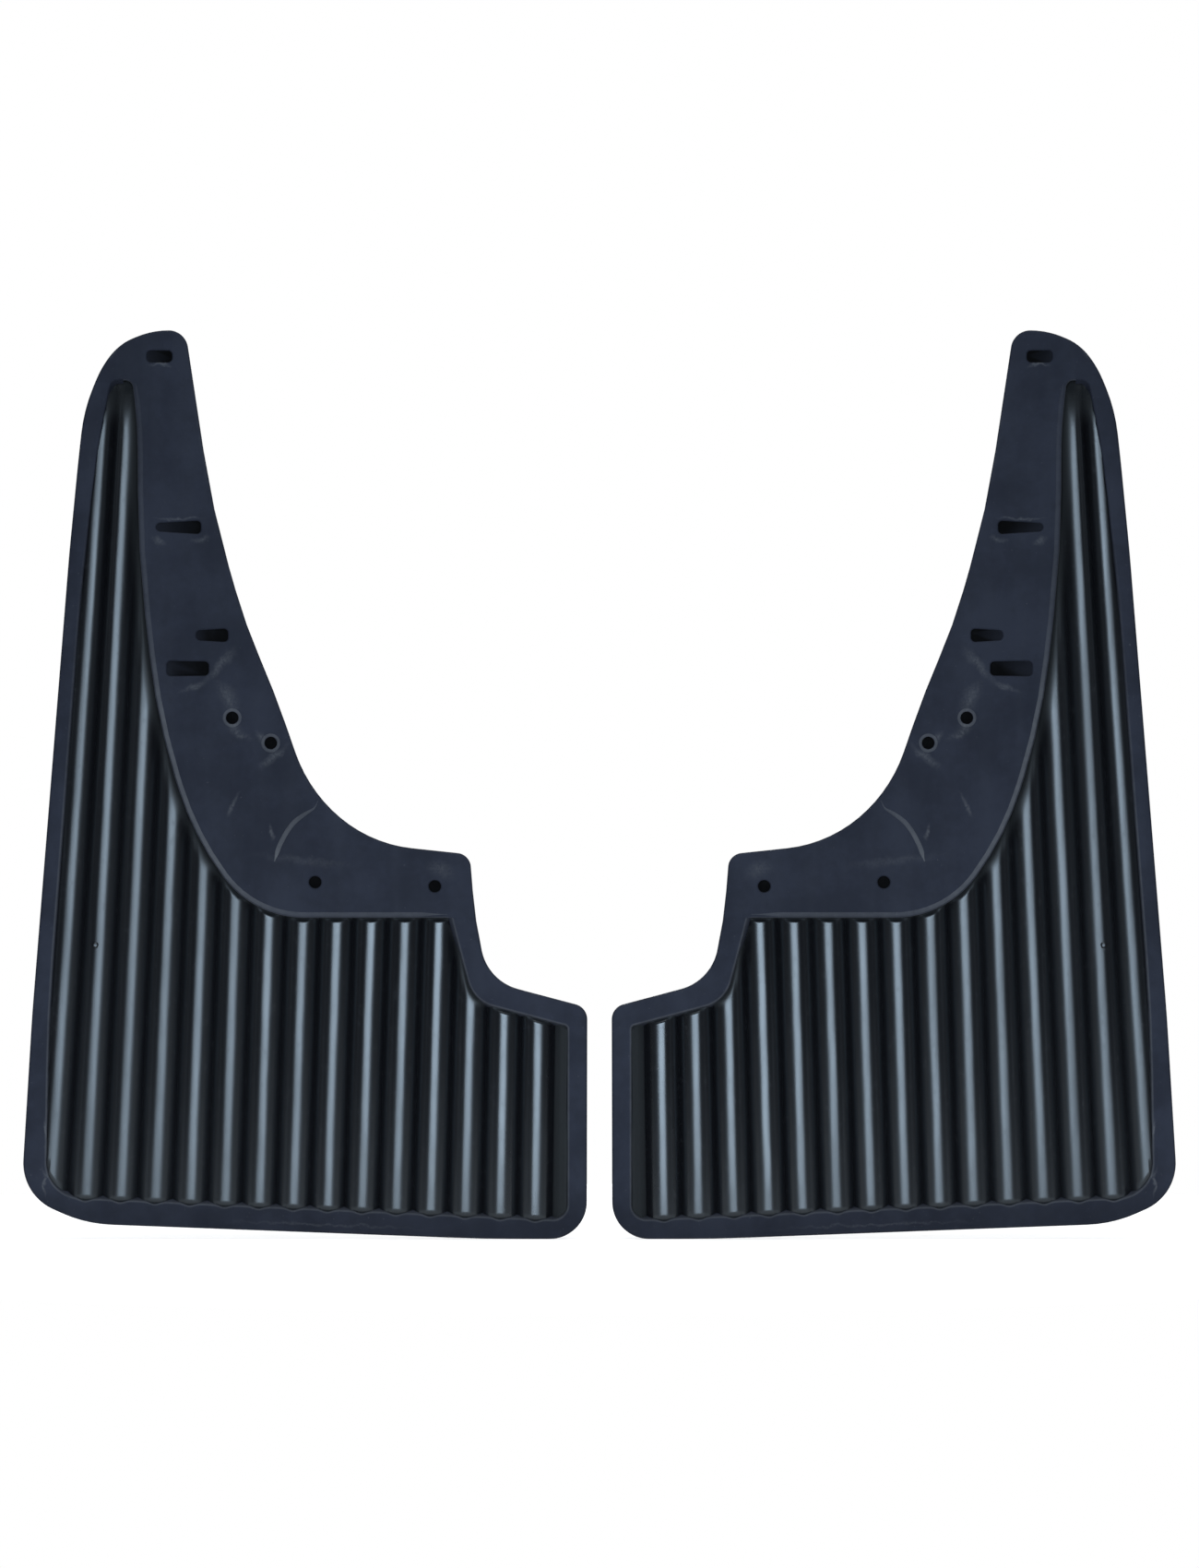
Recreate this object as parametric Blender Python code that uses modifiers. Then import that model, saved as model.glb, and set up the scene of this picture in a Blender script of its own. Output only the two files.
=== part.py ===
"""A handed pair of moulded mud flaps, upright as they hang on the vehicle.

Metres, +Z up. The ribbed face looks towards -Y. The origin is midway between the two flaps,
level with their bottom edges and at the middle of their depth. Shapes are given for one flap
as (u, z), where u is the distance from the mid-plane, and each flap is built from them with
its own side: -1 for the left flap and +1 for the right one.
"""

import math

import bmesh
import bpy
import numpy as np

MM = 0.001
GAP = 0.3 * MM
SIDES = (("left", -1), ("right", 1))

# Depth along Y: front faces and thicknesses.
FLANGE_FRONT = -5.0 * MM
FLANGE_THICKNESS = 3.6 * MM
FLANGE_WALL = 2.8 * MM
KNOCKOUT_WEB = 0.8 * MM
RIM_FRONT = -4.0 * MM
RIM_THICKNESS = 6.6 * MM
CREST_FRONT = -3.5 * MM
RIB_RELIEF = 5.9 * MM
SHEET_THICKNESS = 2.6 * MM
PLATE_EDGE = 0.8 * MM
CUTTER_DEPTH = 40 * MM

# Ribs: straight crests that fan out a little towards the outer edge.
RIB_COUNT = 15
RIB_PITCH = 18.53 * MM
FIRST_CREST = 293.3 * MM
CREST_HEIGHT = 96.5 * MM
RIB_LEANS = ((0, 4.0), (1, 3.0), (3, 2.5), (5, 1.9), (11, 1.7), (14, 0.8))
RIB_ROUNDNESS = 0.92
RIB_SEGMENTS = 6
SHEET_BOTTOM = 2 * MM
SHEET_TOP = 480 * MM

# The flap bends along a level line just under the flange.
BEND_HEIGHT = 169 * MM
BEND_DEPTH = 0.5 * MM
BEND_ROUND = 4.6 * MM
BEND_SEGMENTS = 8
UPPER_START = BEND_HEIGHT + BEND_ROUND + GAP

# Where the raised edge is divided.
NOSE_SPLIT = 258 * MM
OUTER_SPLIT = 285 * MM
INNER_SPLIT = 28 * MM
STEP_SPLIT = 115.3 * MM
STEP_LIMIT = 140 * MM
BOTTOM_LIMIT = 60 * MM
REACH = 600 * MM
FLAP_CENTRE = 150 * MM

# Outlines in mm: u, z and the corner radius. SMOOTH takes the largest radius that fits.
SMOOTH = 1000
ARC_STEP = math.radians(14)
SHORTEST_STEP = 0.3 * MM
WELD_DISTANCE = 0.01 * MM
SLOT_ARC_STEP = math.radians(45)
FLAP_OUTLINE = (
    (224.3, 492.2, 12),
    (209.6, 395, SMOOTH),
    (191.6, 332.5, SMOOTH),
    (176.3, 297, SMOOTH),
    (157.4, 242.6, SMOOTH),
    (123.5, 214.1, SMOOTH),
    (70.2, 208.4, 8),
    (67.3, 172, SMOOTH),
    (60.2, 139.6, 28),
    (6.6, 125.4, 8.5),
    (6.9, 0, 20),
    (62, 0, SMOOTH),
    (278.4, 8.2, SMOOTH),
    (303.9, 19.6, SMOOTH),
    (312.7, 34.3, SMOOTH),
    (307.4, 121.5, SMOOTH),
    (287.3, 371.5, SMOOTH),
    (282.6, 420, SMOOTH),
    (279.4, 449, SMOOTH),
    (269.8, 472.4, SMOOTH),
    (260.1, 484.8, SMOOTH),
    (242.4, 492.2, SMOOTH),
)
POCKET_OUTLINE = (
    (17.4, 10.3, 8),
    (299.8, 23.2, 19),
    (298.3, 121.5, SMOOTH),
    (281.3, 346.5, SMOOTH),
    (272.6, 424, SMOOTH),
    (264.6, 465, 5),
    (253.2, 465, 4),
    (250.3, 440, SMOOTH),
    (250, 372, SMOOTH),
    (240, 282.3, SMOOTH),
    (220.4, 218.6, SMOOTH),
    (187.6, 174, SMOOTH),
    (80.3, 174, 1),
    (74.1, 150, SMOOTH),
    (68.2, 128.8, 22),
    (17.4, 115.3, 2),
)

# Knock-outs are moulded almost through the flange and closed by a thin web at its back.
# Slots in mm: centre u and z, length, height at the outer end and at the inner end.
SLOTS = (
    (238.3, 478, 13.5, 6.2, 6.2),
    (228, 385.5, 24, 4, 7.2),
    (209.8, 327, 17, 5, 7.2),
    (223, 309, 22.5, 8, 7.4),
)
SLOT_CORNER = 1.9
# Screw holes in mm: centre u and z.
HOLES = ((198.9, 282.3), (178, 268.7), (154, 193.3), (89.2, 191.1))
HOLE_RADIUS = 3.25
HOLE_SIDES = 12

# Finishes: colour, roughness.
SATIN_CHARCOAL = ((0.021, 0.026, 0.036), 0.55)
GLOSSY_BLACK = ((0.010, 0.011, 0.014), 0.28)


def clear_scene():
    for item in list(bpy.data.objects):
        bpy.data.objects.remove(item, do_unlink=True)


def new_collection(name):
    collection = bpy.data.collections.new(name)
    bpy.context.scene.collection.children.link(collection)
    return collection


def corner_arc(before, corner, after, radius, arc_step):
    """Points of the arc that rounds a corner, no longer than half of either side."""
    to_before = before - corner
    to_after = after - corner
    room = 0.5 * min(np.linalg.norm(to_before), np.linalg.norm(to_after))
    to_before = to_before / np.linalg.norm(to_before)
    to_after = to_after / np.linalg.norm(to_after)
    half = math.acos(np.clip(to_before @ to_after, -1, 1)) / 2
    turn = math.pi - 2 * half
    tangent = min(room, radius / math.tan(half))
    start = corner + to_before * tangent
    end = corner + to_after * tangent
    centre = corner + (to_before + to_after) * (tangent / (2 * math.cos(half) ** 2))
    steps = max(2, math.ceil(turn / arc_step))
    points = []
    for i in range(steps + 1):
        share = i / steps
        from_start = math.sin(turn * (1 - share)) * (start - centre)
        from_end = math.sin(turn * share) * (end - centre)
        points.append(centre + (from_start + from_end) / math.sin(turn))
    return points


def rounded(corners, arc_step=ARC_STEP):
    """Closed outline in metres from (u, z, radius) corners in mm."""
    spots = np.array([corner[:2] for corner in corners], float) * MM
    points = []
    for i, corner in enumerate(corners):
        following = spots[(i + 1) % len(spots)]
        points += corner_arc(spots[i - 1], spots[i], following, corner[2] * MM, arc_step)
    points = np.array(points)
    steps = np.linalg.norm(points - np.roll(points, 1, axis=0), axis=1)
    return points[steps > SHORTEST_STEP]


def counterclockwise(points):
    u, z = points.T
    area = np.sum(u * np.roll(z, -1) - np.roll(u, -1) * z)
    return points if area > 0 else points[::-1]


def grown(points, distance):
    """The outline moved outwards by distance, or inwards if it is negative."""
    points = counterclockwise(points)
    along = np.roll(points, -1, axis=0) - np.roll(points, 1, axis=0)
    along /= np.linalg.norm(along, axis=1)[:, None]
    outward = np.stack([along[:, 1], -along[:, 0]], axis=1)
    return points + outward * distance


def slot_outline(u, z, length, outer_height, inner_height):
    outer = u + length / 2
    inner = u - length / 2
    corners = (
        (inner, z - inner_height / 2, SLOT_CORNER),
        (outer, z - outer_height / 2, SLOT_CORNER),
        (outer, z + outer_height / 2, SLOT_CORNER),
        (inner, z + inner_height / 2, SLOT_CORNER),
    )
    return rounded(corners, SLOT_ARC_STEP)


def hole_outline(u, z):
    turns = np.linspace(0, 2 * math.pi, HOLE_SIDES, endpoint=False)
    circle = np.stack([np.cos(turns), np.sin(turns)], axis=1)
    return (np.array([u, z]) + circle * HOLE_RADIUS) * MM


def solid_from_curve(name, outlines, half_depth, edge, location, rotation):
    """A flat filled curve with depth, turned into one welded mesh object."""
    curve = bpy.data.curves.new(f"{name}_outline", "CURVE")
    curve.dimensions = "2D"
    curve.fill_mode = "BOTH"
    curve.extrude = half_depth - edge
    curve.bevel_depth = edge
    curve.bevel_resolution = 0
    curve.offset = -edge
    for i, outline in enumerate(outlines):
        points = counterclockwise(outline)
        if i > 0:
            points = points[::-1]
        spline = curve.splines.new("POLY")
        spline.points.add(len(points) - 1)
        for target, (a, b) in zip(spline.points, points):
            target.co = (a, b, 0, 1)
        spline.use_cyclic_u = True
    guide = bpy.data.objects.new(f"{name}_outline", curve)
    guide.location = location
    guide.rotation_euler = rotation
    bpy.context.scene.collection.objects.link(guide)
    bpy.context.view_layer.update()
    evaluated = guide.evaluated_get(bpy.context.evaluated_depsgraph_get())
    mesh = bpy.data.meshes.new_from_object(evaluated)
    mesh.name = name
    work = bmesh.new()
    work.from_mesh(mesh)
    bmesh.ops.remove_doubles(work, verts=work.verts, dist=WELD_DISTANCE)
    bmesh.ops.recalc_face_normals(work, faces=work.faces)
    work.to_mesh(mesh)
    work.free()
    solid = bpy.data.objects.new(name, mesh)
    solid.matrix_world = guide.matrix_world
    bpy.data.objects.remove(guide, do_unlink=True)
    return solid


def plate(name, side, outlines, front, thickness, edge):
    """A plate standing in the XZ plane, with its front face at y = front."""
    sided = [outline * np.array([side, 1]) for outline in outlines]
    location = (0, front + thickness / 2, 0)
    return solid_from_curve(name, sided, thickness / 2, edge, location, (math.pi / 2, 0, 0))


def add_cutter(cutter):
    cutter.hide_render = True
    cutter.display_type = "WIRE"
    bpy.data.collections["cutters"].objects.link(cutter)
    return cutter


def region(name, side, inner, outer, low, high):
    """Box cutter between two distances from the mid-plane and two heights."""
    corners = np.array([(inner, low), (outer, low), (outer, high), (inner, high)])
    return add_cutter(plate(name, side, [corners], -CUTTER_DEPTH / 2, CUTTER_DEPTH, 0))


def region_below_bend(name, side, inner, outer, low):
    """Cutter whose top is a half round about the bend line, so that the lower flap can swing."""
    turns = np.linspace(0, math.pi, BEND_SEGMENTS + 1)
    top = [(BEND_ROUND * math.cos(turn), BEND_ROUND * math.sin(turn)) for turn in turns]
    profile = np.array(top + [(-BEND_ROUND, low - BEND_HEIGHT), (BEND_ROUND, low - BEND_HEIGHT)])
    middle = side * (inner + outer) / 2
    location = (middle, BEND_DEPTH, BEND_HEIGHT)
    half = (outer - inner) / 2
    return add_cutter(
        solid_from_curve(name, [profile], half, 0, location, (math.pi / 2, 0, math.pi / 2))
    )


def combine(piece, other, operation):
    change = piece.modifiers.new(other.name, "BOOLEAN")
    change.operation = operation
    change.solver = "EXACT"
    change.object = other


def keep_inside(piece, cutter):
    combine(piece, cutter, "INTERSECT")


def rib_lean(place):
    numbers, leans = zip(*RIB_LEANS)
    return math.radians(float(np.interp(place, numbers, leans)))


def rib_distance(place, height):
    """Distance from the mid-plane of rib number place (0 is the outermost) at a height."""
    start = FIRST_CREST - place * RIB_PITCH
    return start - math.tan(rib_lean(place)) * (height - CREST_HEIGHT)


def rib_columns():
    """Rib numbers across the sheet, and how deep the sheet lies there, crest to groove."""
    limit = math.asin(RIB_ROUNDNESS)
    columns = []
    for rib in range(-1, RIB_COUNT + 1):
        for i in range(RIB_SEGMENTS):
            turn = limit * (2 * i / RIB_SEGMENTS - 1)
            place = rib + math.sin(turn) / (2 * RIB_ROUNDNESS)
            fall = (1 - math.cos(turn)) / (1 - math.cos(limit))
            columns.append((place, CREST_FRONT + RIB_RELIEF * fall))
    return columns


def ribbed_sheet(name, side):
    """The whole corrugated sheet of one flap, before it is cut to its outline."""
    columns = rib_columns()
    mesh = bpy.data.meshes.new(name)
    work = bmesh.new()
    bmesh.ops.create_grid(work, x_segments=len(columns) - 1, y_segments=1, size=1)
    ranked = sorted(work.verts, key=lambda vert: (round(vert.co.x, 6), vert.co.y))
    for i, vert in enumerate(ranked):
        place, depth = columns[i // 2]
        height = SHEET_TOP if i % 2 else SHEET_BOTTOM
        vert.co = (side * rib_distance(place, height), depth, height)
    work.normal_update()
    front = [face for face in work.faces if face.normal.y > 0]
    bmesh.ops.reverse_faces(work, faces=front)
    work.to_mesh(mesh)
    work.free()
    sheet = bpy.data.objects.new(name, mesh)
    shell = sheet.modifiers.new("thickness", "SOLIDIFY")
    shell.thickness = SHEET_THICKNESS
    shell.offset = -1
    return sheet


def give_material(piece, finish):
    colour, roughness = finish
    material = bpy.data.materials.new(piece.name)
    material.use_nodes = True
    shader = material.node_tree.nodes["Principled BSDF"]
    shader.inputs["Base Color"].default_value = (*colour, 1)
    shader.inputs["Roughness"].default_value = roughness
    shader.inputs["Metallic"].default_value = 0
    piece.data.materials.clear()
    piece.data.materials.append(material)


def add_piece(piece, finish, parent=None):
    give_material(piece, finish)
    bpy.data.collections["mud_flap_pair"].objects.link(piece)
    if parent:
        place = piece.matrix_world.copy()
        piece.parent = parent
        piece.matrix_parent_inverse = parent.matrix_world.inverted()
        piece.matrix_world = place
    return piece


def bend_line(name, side):
    """Empty on the axis that the lower part of a flap bends about."""
    empty = bpy.data.objects.new(f"{name}_bend_line", None)
    empty.location = (side * FLAP_CENTRE, BEND_DEPTH, BEND_HEIGHT)
    bpy.data.collections["mud_flap_pair"].objects.link(empty)
    bpy.context.view_layer.update()
    return empty


def add_flange(name, side, outline, pocket):
    rings = [outline, grown(pocket, GAP / 2)]
    flange = plate(f"{name}_mounting_flange", side, rings, FLANGE_FRONT, FLANGE_THICKNESS, PLATE_EDGE)
    add_piece(flange, SATIN_CHARCOAL)
    wall_front = FLANGE_FRONT + FLANGE_THICKNESS / 2
    wall_depth = RIM_FRONT + RIM_THICKNESS - wall_front
    wall_rings = [grown(pocket, FLANGE_WALL), grown(pocket, GAP)]
    wall = plate(f"{name}_flange_wall", side, wall_rings, wall_front, wall_depth, 0)
    combine(flange, add_cutter(wall), "UNION")
    cutter = region(f"{name}_flange_region", side, 0, NOSE_SPLIT - GAP / 2, UPPER_START, REACH)
    keep_inside(flange, cutter)
    openings = [slot_outline(*slot) for slot in SLOTS] + [hole_outline(*hole) for hole in HOLES]
    depth = FLANGE_THICKNESS - KNOCKOUT_WEB
    knockouts = plate(f"{name}_knockouts", side, openings, FLANGE_FRONT - depth, 2 * depth, 0)
    combine(flange, add_cutter(knockouts), "DIFFERENCE")


def add_rim(name, side, outline, pocket, part, cutter, parent=None):
    rings = [outline, grown(pocket, GAP / 2)]
    rim = plate(f"{name}_{part}", side, rings, RIM_FRONT, RIM_THICKNESS, PLATE_EDGE)
    add_piece(rim, SATIN_CHARCOAL, parent)
    keep_inside(rim, cutter)


def add_panel(name, side, pocket, part, cutter, parent=None):
    panel = ribbed_sheet(f"{name}_{part}", side)
    add_piece(panel, GLOSSY_BLACK, parent)
    shape = [grown(pocket, -GAP / 2)]
    inside = plate(f"{name}_{part}_pocket", side, shape, -CUTTER_DEPTH / 2, CUTTER_DEPTH, 0)
    keep_inside(panel, add_cutter(inside))
    keep_inside(panel, cutter)


def add_flap(name, side):
    outline = counterclockwise(rounded(FLAP_OUTLINE))
    pocket = counterclockwise(rounded(POCKET_OUTLINE))
    line = bend_line(name, side)
    half = GAP / 2

    add_flange(name, side, outline, pocket)
    nose = region(f"{name}_nose_region", side, NOSE_SPLIT + half, REACH, UPPER_START, REACH)
    add_rim(name, side, outline, pocket, "outer_rim_upper", nose)
    above = region(f"{name}_above_bend", side, 0, REACH, UPPER_START, REACH)
    add_panel(name, side, pocket, "ribbed_panel_upper", above)

    below = region_below_bend(f"{name}_below_bend", side, 0, REACH, -GAP)
    add_panel(name, side, pocket, "ribbed_panel_lower", below, line)
    outer = region_below_bend(f"{name}_outer_region", side, OUTER_SPLIT + half, REACH, -GAP)
    add_rim(name, side, outline, pocket, "outer_rim_lower", outer, line)
    step = region_below_bend(f"{name}_step_region", side, 0, STEP_LIMIT, STEP_SPLIT + half)
    add_rim(name, side, outline, pocket, "step_rim", step, line)
    inner = region(f"{name}_inner_region", side, 0, INNER_SPLIT - half, -GAP, STEP_SPLIT - half)
    add_rim(name, side, outline, pocket, "inner_rim", inner, line)
    bottom = region(
        f"{name}_bottom_region", side, INNER_SPLIT + half, OUTER_SPLIT - half, -GAP, BOTTOM_LIMIT
    )
    add_rim(name, side, outline, pocket, "bottom_rim", bottom, line)


def main():
    clear_scene()
    new_collection("mud_flap_pair")
    new_collection("cutters")
    for name, side in SIDES:
        add_flap(name, side)
    bpy.context.view_layer.update()


main()
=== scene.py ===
# A handed pair of moulded mud flaps: the looks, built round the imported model.
# Metres, +Z up, ribbed face towards -Y. One flap is drawn in (u, z), where u is the
# distance from the middle of the pair, and each side has its own sign: -1 left, +1 right.
import math

import bmesh
import bpy
import numpy as np
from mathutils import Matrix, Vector


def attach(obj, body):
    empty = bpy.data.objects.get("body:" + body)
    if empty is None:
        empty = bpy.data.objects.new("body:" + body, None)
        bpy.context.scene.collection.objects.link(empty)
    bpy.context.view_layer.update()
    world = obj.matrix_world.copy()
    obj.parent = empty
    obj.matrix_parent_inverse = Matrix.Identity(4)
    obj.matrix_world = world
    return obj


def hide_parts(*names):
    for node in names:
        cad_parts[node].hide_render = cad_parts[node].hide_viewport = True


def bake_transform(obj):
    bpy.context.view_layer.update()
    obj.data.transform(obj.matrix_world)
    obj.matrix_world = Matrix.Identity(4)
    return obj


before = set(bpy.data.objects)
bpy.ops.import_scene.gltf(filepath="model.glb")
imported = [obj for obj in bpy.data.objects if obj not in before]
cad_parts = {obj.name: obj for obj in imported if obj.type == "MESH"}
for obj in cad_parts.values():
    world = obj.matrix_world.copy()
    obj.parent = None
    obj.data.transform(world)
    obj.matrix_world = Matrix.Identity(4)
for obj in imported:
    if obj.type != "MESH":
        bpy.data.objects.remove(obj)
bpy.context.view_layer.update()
print("frame loaded:", len(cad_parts), "nodes")

mm = 0.001
sides = (("left", -1), ("right", 1))
collection = bpy.data.collections.new("looks")
bpy.context.scene.collection.children.link(collection)


class Value:
    # wraps one socket, so that shader maths is written as an expression
    def __init__(self, tree, socket=None):
        self.tree = tree
        self.socket = socket

    def node(self, kind, settings=None, inputs=None, output=0):
        made = self.tree.nodes.new(kind)
        for name, setting in (settings or {}).items():
            setattr(made, name, setting)
        for name, value in (inputs or {}).items():
            if isinstance(value, Value):
                self.tree.links.new(value.socket, made.inputs[name])
            else:
                made.inputs[name].default_value = value
        return Value(self.tree, made.outputs[output] if made.outputs else None)

    def maths(self, operation, first, second):
        return self.node("ShaderNodeMath", {"operation": operation}, {0: first, 1: second})

    def __add__(self, other):
        return self.maths("ADD", self, other)

    def __radd__(self, other):
        return self.maths("ADD", other, self)

    def __mul__(self, other):
        return self.maths("MULTIPLY", self, other)

    def __rmul__(self, other):
        return self.maths("MULTIPLY", other, self)

    def vector(self, operation, second=None, output=0):
        # this vector alone, or with a second one
        inputs = {0: self} if second is None else {0: self, 1: second}
        return self.node("ShaderNodeVectorMath", {"operation": operation}, inputs, output)

    def mixed(self, first, second):
        # colour between first and second, by this value
        return self.node(
            "ShaderNodeMix", {"data_type": "RGBA"}, {0: self, 6: first, 7: second}, output=2
        )


def colour(rgb):
    return (*rgb, 1)


def newMaterial(name):
    material = bpy.data.materials.new(name)
    material.use_nodes = True
    tree = material.node_tree
    shader = tree.nodes["Principled BSDF"]
    return material, Value(tree), shader


def connect(shader, name, value):
    value.tree.links.new(value.socket, shader.inputs[name])


# outlines, shared by every piece
smooth = 1000  # stands for the largest corner radius that fits
flap = {
    # corners as u, z and radius in mm
    "outline": (
        (224.3, 492.2, 12),
        (209.6, 395, smooth),
        (191.6, 332.5, smooth),
        (176.3, 297, smooth),
        (157.4, 242.6, smooth),
        (123.5, 214.1, smooth),
        (70.2, 208.4, 8),
        (67.3, 172, smooth),
        (60.2, 139.6, 28),
        (6.6, 125.4, 8.5),
        (6.9, 0, 20),
        (62, 0, smooth),
        (278.4, 8.2, smooth),
        (303.9, 19.6, smooth),
        (312.7, 34.3, smooth),
        (307.4, 121.5, smooth),
        (287.3, 371.5, smooth),
        (282.6, 420, smooth),
        (279.4, 449, smooth),
        (269.8, 472.4, smooth),
        (260.1, 484.8, smooth),
        (242.4, 492.2, smooth),
    ),
    "pocket": (
        (17.4, 10.3, 8),
        (299.8, 23.2, 19),
        (298.3, 121.5, smooth),
        (281.3, 346.5, smooth),
        (272.6, 424, smooth),
        (264.6, 465, 5),
        (253.2, 465, 4),
        (250.3, 440, smooth),
        (250, 372, smooth),
        (240, 282.3, smooth),
        (220.4, 218.6, smooth),
        (187.6, 174, smooth),
        (80.3, 174, 1),
        (74.1, 150, smooth),
        (68.2, 128.8, 22),
        (17.4, 115.3, 2),
    ),
    # corners of the pocket by number: top of the nose, flange meets step, inner end of the step
    "noseCorner": 5,
    "stepCorner": 12,
    "innerCorner": 15,
    "arcStep": 5,  # degrees
    "longestStep": 1.6,  # mm
    "shortestStep": 0.1,
    "noseCut": 258,  # u where the flange becomes the outer rim
    "stepCut": 173.95,  # z where the flange becomes the step rim
}


def cornerArc(before, corner, after, radius):
    toBefore = before - corner
    toAfter = after - corner
    room = 0.5 * min(np.linalg.norm(toBefore), np.linalg.norm(toAfter))
    toBefore = toBefore / np.linalg.norm(toBefore)
    toAfter = toAfter / np.linalg.norm(toAfter)
    half = math.acos(np.clip(toBefore @ toAfter, -1, 1)) / 2
    turn = math.pi - 2 * half
    tangent = min(room, radius / math.tan(half))
    start = corner + toBefore * tangent
    end = corner + toAfter * tangent
    centre = corner + (toBefore + toAfter) * (tangent / (2 * math.cos(half) ** 2))
    steps = max(2, math.ceil(math.degrees(turn) / flap["arcStep"]))
    points = []
    for i in range(steps + 1):
        share = i / steps
        fromStart = math.sin(turn * (1 - share)) * (start - centre)
        fromEnd = math.sin(turn * share) * (end - centre)
        points.append(centre + (fromStart + fromEnd) / math.sin(turn))
    return points


def closedOutline(corners):
    # rounded outline in metres, anticlockwise, with no long and no very short steps
    spots = np.array([corner[:2] for corner in corners], float) * mm
    points = []
    for i, corner in enumerate(corners):
        following = spots[(i + 1) % len(spots)]
        points += cornerArc(spots[i - 1], spots[i], following, corner[2] * mm)
    filled = []
    for i, point in enumerate(points):
        following = points[(i + 1) % len(points)]
        length = np.linalg.norm(following - point)
        if length < flap["shortestStep"] * mm:
            continue
        steps = math.ceil(length / (flap["longestStep"] * mm))
        filled += [point + (following - point) * j / steps for j in range(steps)]
    filled = np.array(filled)
    u, z = filled.T
    area = np.sum(u * np.roll(z, -1) - np.roll(u, -1) * z)
    return filled if area > 0 else filled[::-1]


def outwardNormals(points):
    along = np.roll(points, -1, axis=0) - np.roll(points, 1, axis=0)
    along /= np.linalg.norm(along, axis=1)[:, None]
    return np.stack([along[:, 1], -along[:, 0]], axis=1)


def grown(points, distance):
    return points + outwardNormals(points) * distance


def distanceTo(points, line, closed=False):
    # shortest distance from each point to a polyline
    ends = np.roll(line, -1, axis=0) if closed else line[1:]
    starts = line if closed else line[:-1]
    best = np.full(len(points), np.inf)
    for start, end in zip(starts, ends):
        along = end - start
        share = np.clip(((points - start) @ along) / (along @ along), 0, 1)
        gap = points - start - share[:, None] * along
        best = np.minimum(best, np.hypot(gap[:, 0], gap[:, 1]))
    return best


def pocketCorner(name):
    return np.array(flap["pocket"][flap[name]][:2]) * mm


def nearestTo(points, spot):
    return np.argmin(np.linalg.norm(points - spot, axis=1))


outline = closedOutline(flap["outline"])
pocket = closedOutline(flap["pocket"])
noseTop = pocketCorner("noseCorner")[1]


# mesh helpers
def newPiece(name, mesh, material, smoothAngle=40):
    mesh.shade_smooth()
    mesh.set_sharp_from_angle(angle=math.radians(smoothAngle))
    piece = bpy.data.objects.new(name, mesh)
    collection.objects.link(piece)
    mesh.materials.clear()
    mesh.materials.append(material)
    return piece


def evaluatedMesh(source, name):
    bpy.context.view_layer.update()
    evaluated = source.evaluated_get(bpy.context.evaluated_depsgraph_get())
    mesh = bpy.data.meshes.new_from_object(evaluated)
    mesh.name = name
    return mesh


def loftedMesh(name, sections, closedAlong=False):
    # sections: closed rings with the same number of points, joined one to the next
    work = bmesh.new()
    rings = [[work.verts.new(point) for point in ring] for ring in sections]
    pairs = list(zip(rings, rings[1:]))
    if closedAlong:
        pairs.append((rings[-1], rings[0]))
    for ring, following in pairs:
        for i in range(len(ring)):
            j = (i + 1) % len(ring)
            work.faces.new((ring[i], ring[j], following[j], following[i]))
    if not closedAlong:
        work.faces.new(rings[0])
        work.faces.new(rings[-1][::-1])
    bmesh.ops.recalc_face_normals(work, faces=work.faces)
    mesh = bpy.data.meshes.new(name)
    work.to_mesh(mesh)
    work.free()
    return mesh


def blendAtBend(piece):
    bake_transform(piece)


# materials
rubberFinish = {
    "dark": (0.0100, 0.0122, 0.0195),
    "light": (0.0150, 0.0182, 0.0285),
    # wearAndHighlight: pale colour for scuffs, specks and worn edges, and for painted highlights on
    # rounded edges and beads
    "wearAndHighlight": (0.062, 0.068, 0.078),
    # deep: near black, painted shade inside the openings and on the ribs beside the flange; also
    # the rim's darker bottom
    "deep": (0.0012, 0.0012, 0.0014),
    "roughness": (0.66, 0.80),
    "specular": 0.08,
    "tint": (0.80, 0.90, 1.0),
    "grain": 0.12,
    "edgeWearAndHighlight": 0.9,
    # noise: scale, detail, roughness and stretch
    "cloudy": (26, 4, 0.6),
    "mottle": (190, 3, 0.6),
    "grainNoise": (2600, 2, 0.5),
    "scratch": (120, 3, 0.6, (1, 1, 0.09)),
    "specks": (620, 2, 0.5),
    "breakup": (700, 4, 0.7),
    "waver": 7,  # mm by which the pale marks wander
    "waverScale": 130,
    "front": (-1.6, -3),  # depths in mm between which the pale marks come up
    "bumpDepth": 0.6,  # mm
}
# pale marks: centre u, z, half length, half width in mm, angle in degrees, strength
flangeMarks = (
    (201, 293, 12, 5.5, 62, 0.5),
    (195.5, 274.5, 9, 3.4, 35, 0.5),
    (176, 261.5, 11, 3.0, -38, 0.55),
    (184, 272, 5, 2.2, 60, 0.5),
    (205, 311, 14, 3.6, -50, 0.5),
    (219.5, 299, 9, 2.2, -22, 0.5),
    (198.5, 235.5, 8, 1.3, -60, 0.6),
    (178, 220, 5, 1.6, 80, 0.7),
    (228, 390.2, 15, 0.9, 0, 0.6),
    (238.5, 378.5, 5, 2.4, 20, 0.5),
    (216, 379, 6, 2.0, -10, 0.5),
    # the pale lip under the top slot is a painted highlight on its lower edge
    (238, 473.6, 7, 1.2, 0, 0.8),
    (86, 200, 9, 5, 20, 0.35),
    (214, 430, 26, 3.0, 80, 0.25),
    (160, 205, 30, 3.0, 8, 0.22),
)
rimMarks = (
    (300.3, 60, 6, 1.0, 88, 0.9),
    (300.6, 30, 9, 0.9, 86, 0.8),
    (303.5, 240, 40, 1.2, 85, 0.35),
    (150, 8, 60, 1.0, 2, 0.35),
    (268, 478, 12, 3.0, -45, 0.35),
)
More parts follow.
